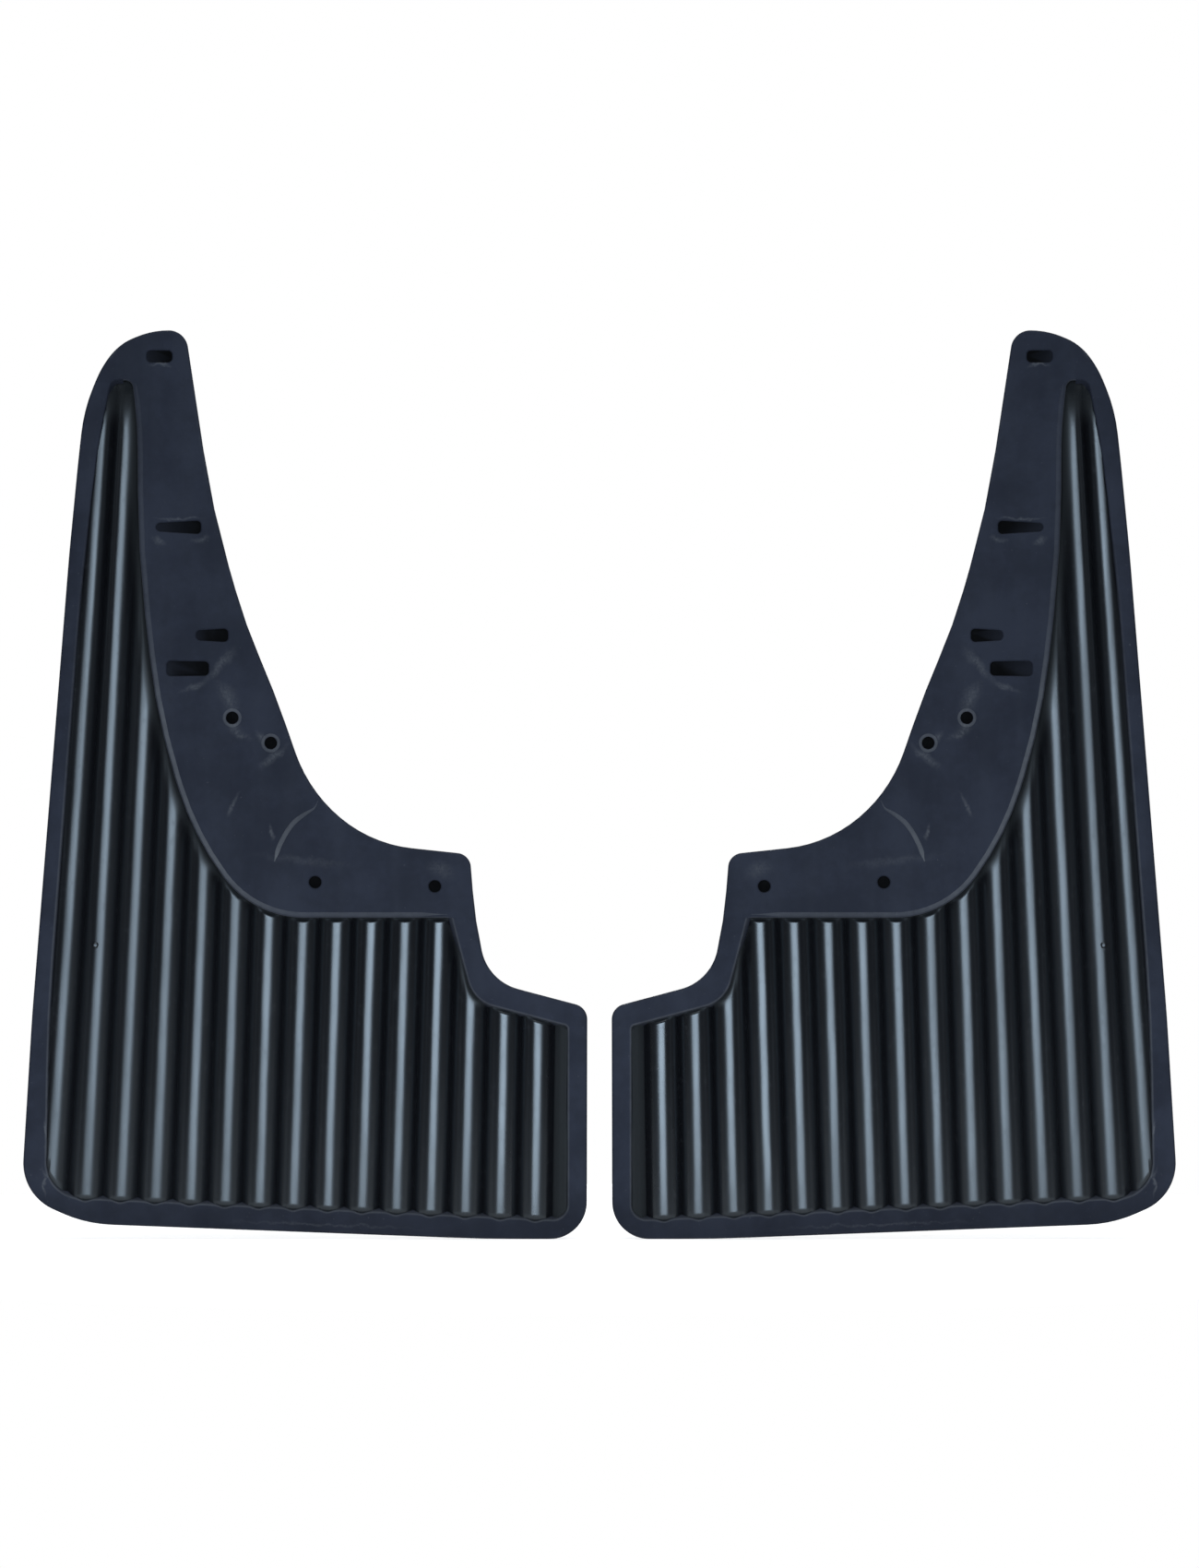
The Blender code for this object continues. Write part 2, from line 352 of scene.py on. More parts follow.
ribFinish = {
    "base": (0.0026, 0.0028, 0.0038),
    "dusty": (0.0075, 0.0080, 0.0098),
    "roughness": (0.29, 0.37),
    "specular": 0.5,
    "tint": (0.76, 0.89, 1.0),
    "waviness": 0.10,
    "spread": (-0.025, 0.07),  # added roughness at the innermost and outermost ribs
    "streaks": (160, 3, 0.6, (1, 1, 0.035)),
    "waves": (34, 2, 0.5, (1, 0.4, 0.45)),
    "dust": (240, 4, 0.7),
    "bumpDepth": 3,
}


def flatPlace(value):
    # both flaps share their marks: x becomes the distance from the middle
    place = value.node("ShaderNodeTexCoord", output=3)
    return place.vector("ABSOLUTE").vector("MULTIPLY", (1, 0, 1))


def noiseAt(value, place, scale, detail=3, rough=0.5, stretch=(1, 1, 1)):
    stretched = value.node("ShaderNodeMapping", inputs={"Vector": place, "Scale": stretch})
    return value.node(
        "ShaderNodeTexNoise",
        inputs={"Vector": stretched, "Scale": scale, "Detail": detail, "Roughness": rough},
    )


def ranged(value, source, low, high, start=0.0, end=1.0):
    # source between low and high becomes start to end, eased and held at both ends
    return value.node(
        "ShaderNodeMapRange",
        {"interpolation_type": "SMOOTHSTEP"},
        {"Value": source, "From Min": low, "From Max": high, "To Min": start, "To Max": end},
    )


def paleMarks(value, flat, marks):
    total = None
    breakup = noiseAt(value, flat, *rubberFinish["breakup"])
    drift = value.node(
        "ShaderNodeTexNoise",
        inputs={"Vector": flat, "Scale": rubberFinish["waverScale"], "Detail": 3},
        output=1,
    )
    reach = rubberFinish["waver"] * mm
    centred = drift.vector("SUBTRACT", (0.5, 0.5, 0.5))
    wavy = flat.vector("ADD", centred.vector("MULTIPLY", (reach, 0, reach)))
    for u, z, halfLength, halfWidth, angle, strength in marks:
        local = value.node(
            "ShaderNodeMapping",
            {"vector_type": "TEXTURE"},
            {
                "Vector": wavy,
                "Location": (u * mm, 0, z * mm),
                "Rotation": (0, -math.radians(angle), 0),
                "Scale": (halfLength * mm, 1, halfWidth * mm),
            },
        )
        away = local.vector("LENGTH", output=1)
        mark = ranged(value, away, 1.15, 0.0, 0.0, strength)
        total = mark if total is None else total + mark
    return total * ranged(value, breakup, 0.30, 0.66, 0.15, 1.0)


def mouldedRubber(name, finish, marks):
    material, value, shader = newMaterial(name)
    place = value.node("ShaderNodeTexCoord", output=3)
    flat = flatPlace(value)
    cloudy = noiseAt(value, place, *finish["cloudy"])
    mottle = noiseAt(value, place, *finish["mottle"])
    grain = noiseAt(value, place, *finish["grainNoise"])
    scratch = noiseAt(value, place, *finish["scratch"])
    patches = ranged(value, cloudy * 0.7 + mottle * 0.3, 0.36, 0.64)
    body = patches.mixed(colour(finish["dark"]), colour(finish["light"]))
    edge = value.node("ShaderNodeAttribute", {"attribute_name": "edge"}, output=2)
    depth = value.node("ShaderNodeSeparateXYZ", inputs={0: place}, output=1)
    first, last = finish["front"]
    onFront = ranged(value, depth, first * mm, last * mm)
    # pale: scuff marks on the face, plus the edge attribute, which is wear and a painted highlight
    # on rounded edges
    wearAndHighlight = paleMarks(value, flat, marks) * onFront + edge * finish["edgeWearAndHighlight"] * (mottle + 0.5)
    specks = ranged(value, noiseAt(value, place, *finish["specks"]), 0.70, 0.80, 0.0, 0.35)
    # inside: near-black painted shade in the openings, and the rim's darker bottom
    inside = value.node("ShaderNodeAttribute", {"attribute_name": "inside"}, output=2)
    rubbedAndLit = (wearAndHighlight + specks).mixed(body, colour(finish["wearAndHighlight"]))
    connect(shader, "Base Color", inside.mixed(rubbedAndLit, colour(finish["deep"])))
    low, high = finish["roughness"]
    spread = mottle * 0.5 + scratch * 0.5
    connect(shader, "Roughness", ranged(value, spread, 0.35, 0.65, low, high) + inside * 0.2)
    shader.inputs["Specular IOR Level"].default_value = finish["specular"]
    shader.inputs["Specular Tint"].default_value = colour(finish["tint"])
    height = grain * 0.35 + mottle * 0.9 + scratch * 0.5
    bump = value.node(
        "ShaderNodeBump",
        inputs={
            "Height": height,
            "Strength": finish["grain"],
            "Distance": finish["bumpDepth"] * mm,
        },
    )
    connect(shader, "Normal", bump)
    return material


def glossyRibs(name, finish):
    material, value, shader = newMaterial(name)
    place = value.node("ShaderNodeTexCoord", output=3)
    streaks = noiseAt(value, place, *finish["streaks"])
    waves = noiseAt(value, place, *finish["waves"])
    dust = ranged(value, noiseAt(value, place, *finish["dust"]), 0.56, 0.78)
    body = dust.mixed(colour(finish["base"]), colour(finish["dusty"]))
    # rougher and painted near black beside the flange's edge, at the nose and on the last half rib:
    # painted shade
    dullAndShaded = value.node("ShaderNodeAttribute", {"attribute_name": "dullAndShaded"}, output=2)
    connect(shader, "Base Color", dullAndShaded.mixed(body, colour(rubberFinish["deep"])))
    low, high = finish["roughness"]
    gloss = ranged(value, streaks * 0.7 + dust * 0.3, 0.2, 0.6, low, high)
    u = value.node("ShaderNodeSeparateXYZ", inputs={0: flatPlace(value)}, output=0)
    inner, outer = finish["spread"]
    spread = ranged(value, u, 0.02, 0.29, inner, outer)
    connect(shader, "Roughness", gloss + spread + dullAndShaded * 0.6)
    shader.inputs["Specular IOR Level"].default_value = finish["specular"]
    shader.inputs["Specular Tint"].default_value = colour(finish["tint"])
    height = waves * 2.2 + streaks * 0.25
    bump = value.node(
        "ShaderNodeBump",
        inputs={
            "Height": height,
            "Strength": finish["waviness"],
            "Distance": finish["bumpDepth"] * mm,
        },
    )
    connect(shader, "Normal", bump)
    return material


flangeRubber = mouldedRubber("flange rubber", rubberFinish, flangeMarks)
rimRubber = mouldedRubber("rim rubber", rubberFinish, rimMarks)
ribRubber = glossyRibs("glossy rib rubber", ribFinish)
print("materials ready")


# mounting flange
flange = {
    "front": -5.0,
    "thickness": 3.6,
    "edge": 1.2,  # radius of its edges
    "wallWidth": 2.8,  # the wall that steps down to the ribs
    "wallBack": 2.6,
    "wallEdge": 0.3,
    # centre u, z, length, height at the outer end and at the inner end
    "slots": (
        (238.3, 478, 13.5, 6.2, 6.2),
        (228, 385.5, 24, 4, 7.2),
        (209.8, 327, 17, 5, 7.2),
        (223, 309, 22.5, 8, 7.4),
    ),
    "slotCorner": 2.2,
    "holes": ((198.9, 282.3), (178, 268.7), (154, 193.3), (89.2, 191.1)),
    "holeRadius": 3.25,
    "holeSides": 32,
    "web": 0.8,  # thin sheet that closes each opening at the back of the flange; painted dark, it stands in for the shade seen through the opening
    "webOverlap": 0.35,  # how far a web reaches into the flange round it
    "webSunk": 0.02,
    "paintedShadeFrom": 0.2,  # depths over which the inside of an opening is painted near black: painted shade
    "paintedShadeOver": 1.6,
    # how pale the rounded edge beside the ribs is painted: wear and a painted highlight
    "rubbedAndLit": 0.45,
    "rampFront": -3.9,  # the slots' floors rise to this depth at their outer ends
}


def slotRing(u, z, length, outerHeight, innerHeight):
    outer = u + length / 2
    inner = u - length / 2
    radius = flange["slotCorner"]
    return closedOutline(
        (
            (inner, z - innerHeight / 2, radius),
            (outer, z - outerHeight / 2, radius),
            (outer, z + outerHeight / 2, radius),
            (inner, z + innerHeight / 2, radius),
        )
    )


def holeRing(u, z):
    turns = np.linspace(0, 2 * math.pi, flange["holeSides"], endpoint=False)
    circle = np.stack([np.cos(turns), np.sin(turns)], axis=1)
    return (np.array([u, z]) + circle * flange["holeRadius"]) * mm


def webMesh(name, sign, ring, rise):
    # thin sheet that closes an opening, rising by that much towards its outer end; painted dark, it
    # stands in for shade
    wide = grown(ring, flange["webOverlap"] * mm)
    back = (flange["front"] + flange["thickness"] - flange["webSunk"]) * mm
    floor = (flange["front"] + flange["thickness"] - flange["web"]) * mm
    low, high = wide[:, 0].min(), wide[:, 0].max()
    share = (wide[:, 0] - low) / (high - low)
    front = [(sign * u, floor - rise * s * mm, z) for (u, z), s in zip(wide, share)]
    behind = [(sign * u, back, z) for u, z in wide]
    return loftedMesh(name, [front, behind])


def plateMesh(name, sign, rings, front, thickness, edge):
    # flat plate standing in the XZ plane: first ring outside, the others are openings.
    # Drawn as the left one and mirrored, because the curve's offset depends on its turn.
    curve = bpy.data.curves.new(name, "CURVE")
    curve.dimensions = "2D"
    curve.fill_mode = "BOTH"
    curve.extrude = thickness / 2 - edge
    curve.bevel_depth = edge
    curve.bevel_resolution = 3
    curve.offset = -edge
    for i, ring in enumerate(rings):
        points = ring[::-1] if i else ring
        spline = curve.splines.new("POLY")
        spline.points.add(len(points) - 1)
        for target, (u, z) in zip(spline.points, points):
            target.co = (-u, z, 0, 1)
        spline.use_cyclic_u = True
    guide = bpy.data.objects.new(name, curve)
    collection.objects.link(guide)
    mesh = evaluatedMesh(guide, name)
    bpy.data.objects.remove(guide, do_unlink=True)
    work = bmesh.new()
    work.from_mesh(mesh)
    for vert in work.verts:
        x, z, y = vert.co
        vert.co = (-sign * x, front + thickness / 2 - y, z)
    bmesh.ops.remove_doubles(work, verts=work.verts, dist=0.01 * mm)
    cutAway(work, (sign * flap["noseCut"] * mm, 0, 0), (sign, 0, 0))
    cutAway(work, (0, 0, flap["stepCut"] * mm), (0, 0, -1))
    bmesh.ops.recalc_face_normals(work, faces=work.faces)
    work.to_mesh(mesh)
    work.free()
    return mesh


def cutAway(work, place, direction):
    # removes what lies past a plane and closes the cut
    geometry = work.verts[:] + work.edges[:] + work.faces[:]
    bmesh.ops.bisect_plane(
        work, geom=geometry, dist=1e-7, plane_co=place, plane_no=direction, clear_outer=True
    )
    rims = [edge for edge in work.edges if edge.is_boundary]
    bmesh.ops.holes_fill(work, edges=rims)


def markEdges(mesh, sign):
    # edge is 1 on the rounded edge beside the ribs, painted pale as wear and as a painted
    # highlight, and inside is 1 at the bottom of the openings, painted near black as painted shade
    spots = np.array([vert.co for vert in mesh.vertices])
    flat = np.stack([sign * spots[:, 0], spots[:, 2]], axis=1)
    depth = spots[:, 1] / mm - flange["front"]
    margin = flange["edge"] + 0.1
    beside = distanceTo(flat, pocket, closed=True) < margin * mm
    turned = np.clip(depth / flange["edge"], 0, 1)
    rubbedAndLit = np.where(beside & (depth < margin), np.sin(turned * math.pi * 0.75), 0)
    addAttribute(mesh, "edge", rubbedAndLit * flange["rubbedAndLit"])
    back = depth > flange["thickness"] - 0.3
    inner = np.zeros(len(spots), bool)
    for ring in openingRings():
        centre = ring.mean(axis=0)
        reach = np.abs(ring - centre).max(axis=0) + flange["paintedShadeOver"] * mm
        inner |= (np.abs(flat - centre) < reach).all(axis=1)
    # painted shade: the inside of each opening turns near black with depth
    deep = np.clip((depth - flange["paintedShadeFrom"]) / flange["paintedShadeOver"], 0, 1)
    addAttribute(mesh, "inside", np.where(inner & ~back, deep, 0))


def openingRings():
    slots = [slotRing(*slot) for slot in flange["slots"]]
    return slots + [holeRing(*hole) for hole in flange["holes"]]


def addAttribute(mesh, name, values):
    attribute = mesh.attributes.new(name, "FLOAT", "POINT")
    attribute.data.foreach_set("value", np.asarray(values, np.float32))


def addFlange(side, sign):
    openings = openingRings()
    rings = [outline, pocket] + openings
    front, thickness, edge = (flange[key] * mm for key in ("front", "thickness", "edge"))
    mesh = plateMesh(f"{side}_flange", sign, rings, front, thickness, edge)
    wallFront = (flange["front"] + flange["edge"]) * mm
    wallDepth = flange["wallBack"] * mm - wallFront
    wallRings = [grown(pocket, flange["wallWidth"] * mm), pocket]
    wallEdge = flange["wallEdge"] * mm
    wall = plateMesh(f"{side}_wall", sign, wallRings, wallFront, wallDepth, wallEdge)
    work = bmesh.new()
    work.from_mesh(mesh)
    work.from_mesh(wall)
    floor = flange["front"] + flange["thickness"] - flange["web"]
    for number, ring in enumerate(openings):
        rise = floor - flange["rampFront"] if number < len(flange["slots"]) else 0
        work.from_mesh(webMesh(f"{side}_web", sign, ring, rise))
    work.to_mesh(mesh)
    work.free()
    markEdges(mesh, sign)
    piece = newPiece(f"{side}_flange", mesh, flangeRubber, 30)
    piece.modifiers.new("weighted normals", "WEIGHTED_NORMAL").keep_sharp = True
    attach(piece, f"{side}_mount")
    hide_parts(f"{side}_mounting_flange")
    return piece


# small details on the flange
crease = {
    # a raised line where the rubber flowed together, as u and z in mm
    "path": (
        (152.3, 237.6),
        (154.3, 233.2),
        (159.5, 230.4),
        (165.4, 226),
        (169.6, 220.4),
        (173.6, 212.6),
        (176, 204.6),
    ),
    "halfWidth": 1.25,
    "height": 0.42,
    "stations": 60,
    "smoothing": 12,
    "tapers": (0.5, 0.12),  # share of its length over which its start and end thin out
}
collars = {
    # thin raised rings round two of the screw openings
    "around": (0, 1),
    "radius": 4.3,
    "halfWidth": 0.8,
    "height": 0.22,
    "stations": 40,
    # pale: how pale the rings are painted, wear and a painted highlight
    "pale": 0.5,
}


def beadSection(centre, across, halfWidth, height):
    # lens shape standing on the flange's face
    ring = []
    for turn in np.linspace(0, 2 * math.pi, 8, endpoint=False):
        u, z = centre + across * halfWidth * math.cos(turn)
        ring.append((u, flange["front"] * mm - height * math.sin(turn), z))
    return ring


def addCrease(side, sign):
    corners = np.array(crease["path"]) * mm
    marks = np.linspace(0, 1, len(corners))
    shares = np.linspace(0, 1, crease["stations"])
    path = np.stack([np.interp(shares, marks, corners[:, i]) for i in (0, 1)], axis=1)
    for _ in range(crease["smoothing"]):
        path[1:-1] = (path[:-2] + path[1:-1] * 2 + path[2:]) / 4
    along = np.gradient(path, axis=0)
    along /= np.linalg.norm(along, axis=1)[:, None]
    sections = []
    startTaper, endTaper = crease["tapers"]
    for spot, (du, dz), share in zip(path, along, shares):
        taper = 0.2 + 0.8 * ease(share / startTaper) * ease((1 - share) / endTaper)
        across = np.array([-dz, du])
        size = mm * taper
        ring = beadSection(spot, across, crease["halfWidth"] * size, crease["height"] * size)
        sections.append([(sign * u, y, z) for u, y, z in ring])
    mesh = loftedMesh(f"{side}_crease", sections)
    # the crease is painted pale, more towards its end: wear and a painted highlight on the raised
    # line
    addAttribute(mesh, "edge", np.repeat(0.25 + 0.65 * shares, len(sections[0])))
    piece = newPiece(f"{side}_crease", mesh, flangeRubber, 70)
    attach(piece, f"{side}_mount")


lip = {
    # the rounded lip along the flange's edge beside the ribs
    "inset": 1.9,
    "halfWidth": 1.15,
    "height": 0.3,
    "heights": (173.9, 463),  # z between which it runs
    "taper": 0.04,  # share of its length over which each end thins out
    # height, and how pale it is painted there: wear and a painted highlight on the lip
    "pale": ((172, 0.28), (180, 0.5), (200, 0.75), (285, 0.75), (330, 0.3), (450, 0.12)),
}


def addLip(side, sign):
    low, high = lip["heights"]
    outward = outwardNormals(pocket)
    spots = []
    for point in upperEdge():
        if low * mm < point[1] < high * mm:
            across = outward[nearestTo(pocket, point)]
            spots.append((point + across * lip["inset"] * mm, across))
    travelled = np.linspace(0, 1, len(spots))
    heights, levels = zip(*lip["pale"])
    sections = []
    rubbedAndLit = []
    for (spot, across), share in zip(spots, travelled):
        taper = 0.1 + 0.9 * ease(share / lip["taper"]) * ease((1 - share) / lip["taper"])
        ring = beadSection(spot, across, lip["halfWidth"] * mm * taper, lip["height"] * mm * taper)
        sections.append([(sign * u, y, z) for u, y, z in ring])
        rubbedAndLit += [float(np.interp(spot[1] / mm, heights, levels))] * len(ring)
    mesh = loftedMesh(f"{side}_lip", sections)
    addAttribute(mesh, "edge", rubbedAndLit)
    piece = newPiece(f"{side}_lip", mesh, flangeRubber, 70)
    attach(piece, f"{side}_mount")


def addCollars(side, sign):
    work = bmesh.new()
    for number in collars["around"]:
        centre = np.array(flange["holes"][number]) * mm
        sections = []
        for turn in np.linspace(0, 2 * math.pi, collars["stations"], endpoint=False):
            outward = np.array([math.cos(turn), math.sin(turn)])
            middle = centre + outward * collars["radius"] * mm
            ring = beadSection(middle, outward, collars["halfWidth"] * mm, collars["height"] * mm)
            sections.append([(sign * u, y, z) for u, y, z in ring])
        work.from_mesh(loftedMesh(f"{side}_collar", sections, closedAlong=True))
    mesh = bpy.data.meshes.new(f"{side}_collars")
    work.to_mesh(mesh)
    work.free()
    addAttribute(mesh, "edge", np.full(len(mesh.vertices), collars["pale"]))
    piece = newPiece(f"{side}_collars", mesh, flangeRubber, 70)
    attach(piece, f"{side}_mount")


# rim: one raised edge from the nose, round the ribs and up the step
rim = {
    "front": -4.0,
    "back": 2.6,
    "crown": 0.25,
    "foot": 1.6,  # how far the inner face leans in under the ribs
    "innerRound": 1.3,
    "outerRound": 1.5,
    "chamfer": 0.5,
    "roundPoints": 6,
    "facePoints": 6,
    "ridges": (51.8, 32.8, 13.8),  # u where the ribs show through the step
    "ridgesAbove": 110,  # z and u that keep them to the step
    "ridgesWithin": 62,
    "ridgeHeight": 0.3,
    "ridgeWidth": 2.0,
    "noseLength": 34,  # how far the rim takes to drop from the flange's height
    "stepLength": 14,
    "runOn": (1.5, 3.0, 4.5),  # stations past the cut, inside the flange
    "cornerGap": 1,  # how far below the flange's lower edge it stops following the pocket
    "farSide": 100,  # u beyond which that doesn't apply
    "sunk": 0.02,  # below the flange's face, so the two faces never share a plane
    "backLength": 16,  # how far its back takes to reach full depth
    "pale": ((0, 0.5), (200, 0.5), (300, 0.25), (420, 0.0)),  # height, and how pale its inner edge is painted: wear and a painted highlight on the rounded edge
    "shade": 0.22,  # how much darker it is along the bottom
    "shadeHeights": (12, 20),  # where that starts to go, and over what height
    # along the bottom its inner edge gives way a little at each crest
    "scallop": 1.4,
    "scallopWidth": 3.4,
    "scallopTop": 25,
}


def rimStations():
    # pocket edge from the nose clockwise to the flange's lower edge, with outward directions
    normals = outwardNormals(pocket)
    order = np.arange(len(pocket))[::-1]
    points = pocket[order]
    directions = normals[order]
    nose = nearestTo(points, (flap["noseCut"] * mm, noseTop))
    points = np.roll(points, -nose, axis=0)
    directions = np.roll(directions, -nose, axis=0)
    corner = pocketCorner("stepCorner")
    last = nearestTo(points, corner)
    clear = corner[1] - rim["cornerGap"] * mm
    keep = [i for i in range(last) if points[i, 0] > rim["farSide"] * mm or points[i, 1] < clear]
    points = points[keep]
    directions = directions[keep]
    # start level with the cut at the nose, and run on a little into the flange
    points[0] = (flap["noseCut"] * mm, points[0, 1])
    directions[0] = (0, 1)
    along = points[-1] - points[-3]
    along /= np.linalg.norm(along)
    for distance in rim["runOn"]:
        points = np.vstack([points, points[len(keep) - 1] + along * distance * mm])
        directions = np.vstack([directions, directions[len(keep) - 1]])
    return points, directions


def rimWidths(points, directions):
    # distance from the pocket edge to the outline, along each outward direction
    starts = outline
    along = np.roll(outline, -1, axis=0) - outline
    widths = []
    for point, direction in zip(points, directions):
        gap = starts - point
        cross = direction[0] * along[:, 1] - direction[1] * along[:, 0]
        cross = np.where(np.abs(cross) < 1e-12, 1e-12, cross)
        reach = (gap[:, 0] * along[:, 1] - gap[:, 1] * along[:, 0]) / cross
        share = (gap[:, 0] * direction[1] - gap[:, 1] * direction[0]) / cross
        hits = reach[(share >= -1e-6) & (share <= 1 + 1e-6) & (reach > 0)]
        widths.append(hits.min())
    return np.array(widths)


def ease(share):
    share = np.clip(share, 0, 1)
    return share * share * (3 - 2 * share)


def rimSection(width, front, back, foot):
    # closed section: distance outwards from the pocket edge, and depth
    inner = rim["innerRound"] * mm
    outer = rim["outerRound"] * mm
    points = [(-foot, back)]
    lean = math.atan2(foot, back - front - inner)
    for turn in np.linspace(lean, math.pi / 2, rim["roundPoints"]):
        points.append((inner - inner * math.cos(turn), front + inner - inner * math.sin(turn)))
    for share in np.linspace(0, 1, rim["facePoints"] + 2)[1:-1]:
        crown = rim["crown"] * mm * (1 - (2 * share - 1) ** 2)
        points.append((inner + (width - inner - outer) * share, front - crown))
    for turn in np.linspace(0, math.pi / 2, rim["roundPoints"]):
        out = width - outer + outer * math.sin(turn)
        points.append((out, front + outer - outer * math.cos(turn)))
    chamfer = rim["chamfer"] * mm
    points.append((width, back - chamfer))
    points.append((width - chamfer, back))
    return points


def crestPlaces(height):
    # u of every crest at a height, in mm
    numbers, leans = zip(*panel["leans"])
    places = np.arange(panel["ribs"])
    slopes = np.tan(np.radians(np.interp(places, numbers, leans)))
    return panel["firstCrest"] - places * panel["pitch"] - slopes * (height - panel["crestHeight"])


def addRim(side, sign):
    points, directions = rimStations()
    for i in np.nonzero(points[:, 1] < rim["scallopTop"] * mm)[0]:
        away = (points[i, 0] / mm - crestPlaces(points[i, 1] / mm)) / rim["scallopWidth"]
        points[i] += directions[i] * rim["scallop"] * mm * np.exp(-(away**2)).sum()
    widths = rimWidths(points, directions)
    travelled = np.concatenate([[0], np.cumsum(np.linalg.norm(np.diff(points, axis=0), axis=1))])
    fromNose = ease(travelled / (rim["noseLength"] * mm))
    toStep = travelled[-1] - rim["runOn"][-1] * mm - travelled
    lowered = np.minimum(fromNose, ease(toStep / (rim["stepLength"] * mm)))
    thickened = ease(np.minimum(travelled, toStep) / (rim["backLength"] * mm))
    top = flange["front"] + rim["sunk"] + rim["crown"]
    thin = flange["front"] + flange["thickness"]
    sections = []
    for point, direction, width, share, full in zip(points, directions, widths, lowered, thickened):
        front = (top + (rim["front"] + rim["crown"] - top) * share) * mm
        back = (thin + (rim["back"] - thin) * full) * mm
        ring = []
        for outward, depth in rimSection(width, front, back, rim["foot"] * mm):
            u, z = point + direction * outward
            if depth < 0 and z > rim["ridgesAbove"] * mm and u < rim["ridgesWithin"] * mm:
                away = (u / mm - np.array(rim["ridges"])) / rim["ridgeWidth"]
                depth -= rim["ridgeHeight"] * mm * np.exp(-(away**2)).sum()
            ring.append((sign * u, depth, z))
        sections.append(ring)
    mesh = loftedMesh(f"{side}_rim", sections)
    # its inner rounded edge is painted pale: wear and a painted highlight
    across = [0] + [math.sin(share * math.pi) for share in np.linspace(0.2, 1, rim["roundPoints"])]
    across += [0] * (len(sections[0]) - len(across))
    levels = np.interp(points[:, 1] / mm, *zip(*rim["pale"]))
    addAttribute(mesh, "edge", np.outer(levels, across).ravel())
    heights = np.array([vert.co.z for vert in mesh.vertices]) / mm
    start, length = rim["shadeHeights"]
    addAttribute(mesh, "inside", rim["shade"] * (1 - ease((heights - start) / length)))
    piece = newPiece(f"{side}_rim", mesh, rimRubber, 50)
    blendAtBend(piece)
    parts = ("outer_rim_upper", "outer_rim_lower", "bottom_rim", "inner_rim", "step_rim")
    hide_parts(*[f"{side}_{part}" for part in parts])
    return piece


# ribbed panel: one corrugated sheet under the rim and the flange
panel = {
    "ribs": 15,
    "pitch": 18.53,
    "firstCrest": 293.3,  # u of the outermost crest at crestHeight
    "crestHeight": 96.5,
    # rib number and its lean in degrees
    "leans": ((0, 4.0), (1, 3.0), (3, 2.5), (5, 1.9), (11, 1.7), (14, 0.8)),
    "crestFront": -3.5,
    "relief": 5.9,
    "thickness": 2.4,
    "columnsPerRib": 24,
    # rows of points in mm: down from the upper end, up from the lower end, and at fixed
    # heights between, closest together where the flap bends (first, last and step)
    "fromTop": (0, 1, 2, 3, 4, 5, 6.5, 8, 10, 12, 15, 18, 22, 27, 33, 40),
    "fromBottom": (0, 2, 4, 7),
    "levels": ((20, 130, 12), (130, 178, 3), (190, 470, 12)),
    "shortest": 8,  # shorter columns are left out
    "tuck": 1.8,  # how far the sheet runs on under the rim and the flange
    # slope in degrees at a distance in mm from the crest, on the side away from the middle
    "outerSlopes": (
        (0, 0),
        (1, 3),
        (2, 9),
        (3, 24),
        (3.8, 34),
        (4.5, 15),
        (5.2, 16),
        (6, 41),
        (7.6, 50),
        (8.8, 57),
        (9.27, 58),
    ),
    "innerSlopes": (
        (0, 0),
        (1, 3),
        (2, 8),
        (3.2, 17),
        (4.5, 30),
        (6, 44),
        (7.6, 54),
        (9.27, 59),
    ),
    "endDip": 2.0,  # how far the crests fall at their upper ends
    "endLength": 2.2,
    "noseDip": 5.9,
    "noseLength": 10,
    # distance in mm over which the gloss comes up and the painted shade goes: level edges, the
    # flange's slanted edge, step
    "dullShadedLengths": (1.6, 6.5, 4.5),
    "slantHeights": (178, 30),  # where the flange's edge begins to slant, and over what height
    "besideStep": (62, 84, 170),  # the steep part of the step: from u, to u, below z
    "dullShadedNose": (438, 457),  # z over which the gloss goes and the painted shade comes at the nose
}


def ribProfile():
    # offsets from the crest towards the middle in mm, and how far the sheet has fallen
    half = panel["pitch"] / 2
    fine = np.linspace(0, half, 400)
    falls = []
    for slopes in (panel["outerSlopes"], panel["innerSlopes"]):
        where, degrees = zip(*slopes)
        steep = np.tan(np.radians(np.interp(fine, where, degrees)))
        fall = np.concatenate([[0], np.cumsum((steep[1:] + steep[:-1]) / 2 * np.diff(fine))])
        falls.append(fall * panel["relief"] / fall[-1])
    offsets = np.concatenate([-fine[::-1], fine[1:]])
    heights = np.concatenate([falls[0][::-1], falls[1][1:]])
    return offsets, heights


def crossingHeights(place, ring):
    # lowest and highest z where a rib column meets the closed ring
    numbers, leans = zip(*panel["leans"])
    slope = math.tan(math.radians(float(np.interp(place, numbers, leans))))
    start = (panel["firstCrest"] - place * panel["pitch"]) * mm
    base = panel["crestHeight"] * mm
    side = ring[:, 0] - start + slope * (ring[:, 1] - base)
    following = np.roll(side, -1)
    crossed = np.nonzero((side > 0) != (following > 0))[0]
    if len(crossed) < 2:
        return None
    share = side[crossed] / (side[crossed] - following[crossed])
    heights = ring[crossed, 1] + share * (np.roll(ring[:, 1], -1)[crossed] - ring[crossed, 1])
    return start, slope, heights.min(), heights.max()


